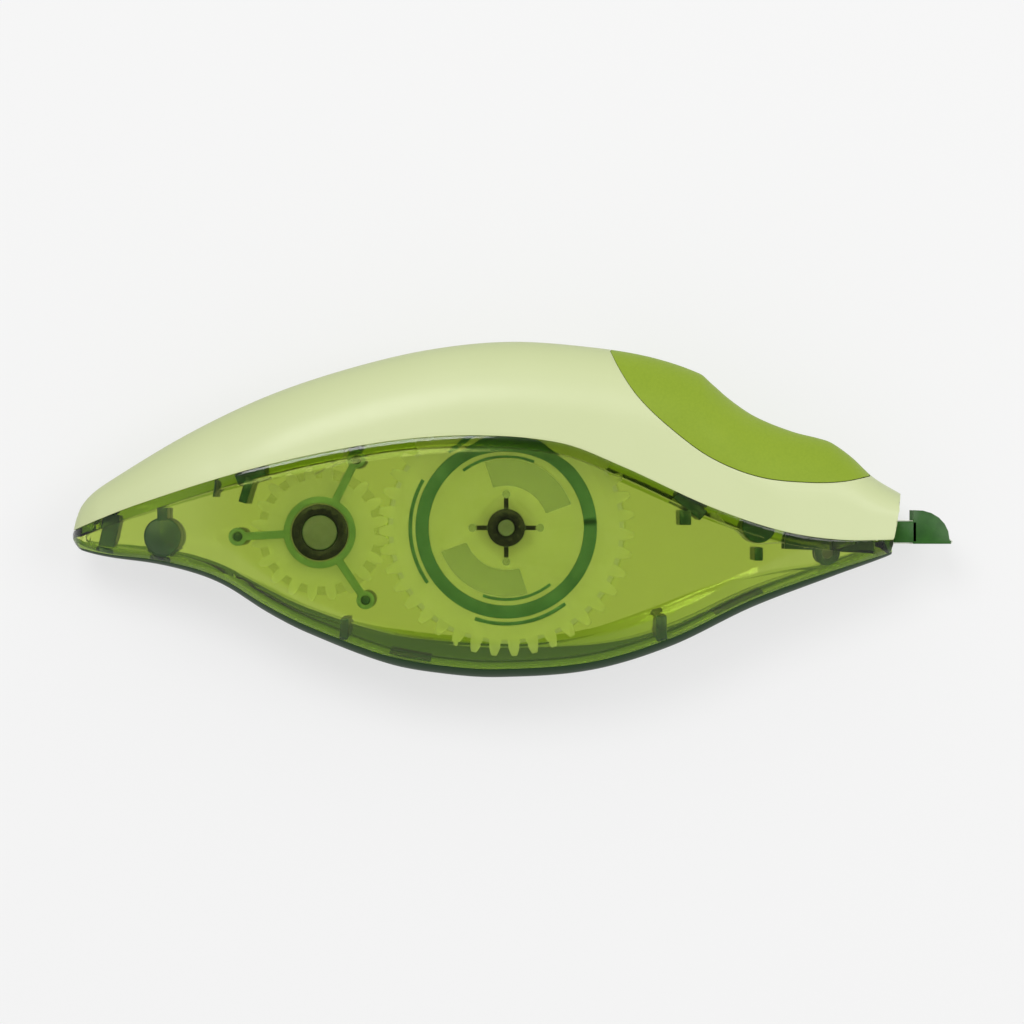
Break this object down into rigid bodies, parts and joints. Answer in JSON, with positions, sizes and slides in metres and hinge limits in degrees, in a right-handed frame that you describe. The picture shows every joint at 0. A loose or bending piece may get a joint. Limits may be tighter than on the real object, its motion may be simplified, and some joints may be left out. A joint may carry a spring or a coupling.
{
  "type": "correction tape roller",
  "caption": "Leaf-shaped side-dispensing correction tape roller: clear geared body, spine cover with soft grip, tilting applicator tip.",
  "frame": {"origin": "centre of the bounding box in plan, on the flat left side that the roller lies on", "axes": "+X from the tail to the applicator tip, +Y from the belly to the spine, +Z through the thickness, from the left side to the right side"},
  "size_m": [0.1071, 0.0406, 0.018],
  "materials": {
    "clear_green": "tinted clear plastic, polished",
    "cover_plastic": "pale green moulded plastic, satin gloss",
    "grip_rubber": "soft matt green elastomer",
    "gear_plastic": "pale lime moulded acetal",
    "dark_plastic": "dark green moulded plastic",
    "black_plastic": "black moulded plastic",
    "washer_rubber": "black friction rubber",
    "pin_metal": "turned steel pin",
    "tape_white": "matt white correction film on its liner",
    "liner_paper": "translucent glassine liner"
  },
  "bodies": {
    "housing": {"left_shell": "clear_green", "right_shell": "clear_green", "top_cover": "cover_plastic", "grip_pad": "grip_rubber", "tip_holder": "dark_plastic", "guide_pin": "pin_metal", "take_up_bridge": "dark_plastic", "feed_tape": "tape_white", "return_liner": "liner_paper"},
    "drive": {"drive_gear": "gear_plastic", "drive_bush": "black_plastic", "clutch_washer": "washer_rubber"},
    "supply_reel": {"supply_core": "dark_plastic", "supply_flange": "gear_plastic", "tape_roll": "tape_white"},
    "take_up_reel": {"take_up_gear": "gear_plastic", "take_up_bush": "black_plastic", "take_up_core": "dark_plastic", "take_up_flange": "gear_plastic", "liner_roll": "liner_paper"},
    "guide": {"guide_roller": "dark_plastic"},
    "tip": {"applicator_tip": "dark_plastic", "tip_tape": "tape_white"}
  },
  "joints": [
    {"name": "drive_spin", "type": "hinge", "parent": "housing", "child": "drive", "pos_m": [-0.0007, -0.00225, 0.009], "axis": [0, 0, 1], "continuous": true},
    {"name": "clutch_slip", "type": "hinge", "parent": "drive", "child": "supply_reel", "pos_m": [-0.0007, -0.00225, 0.009], "axis": [0, 0, 1], "continuous": true},
    {"name": "take_up_spin", "type": "hinge", "parent": "housing", "child": "take_up_reel", "pos_m": [-0.02326, -0.0028, 0.009], "axis": [0, 0, 1], "continuous": true},
    {"name": "guide_spin", "type": "hinge", "parent": "housing", "child": "guide", "pos_m": [0.0382, -0.00525, 0.009], "axis": [0, 0, 1], "continuous": true},
    {"name": "tip_tilt", "type": "hinge", "parent": "housing", "child": "tip", "pos_m": [0.0435, -0.0027, 0.009], "axis": [1, 0, 0], "range_deg": [-5, 5], "stiffness_Nm_per_rad": 0.005}
  ],
  "couplings": [
    {"joint": "take_up_spin", "follows": "drive_spin", "ratio": -1.95}
  ]
}
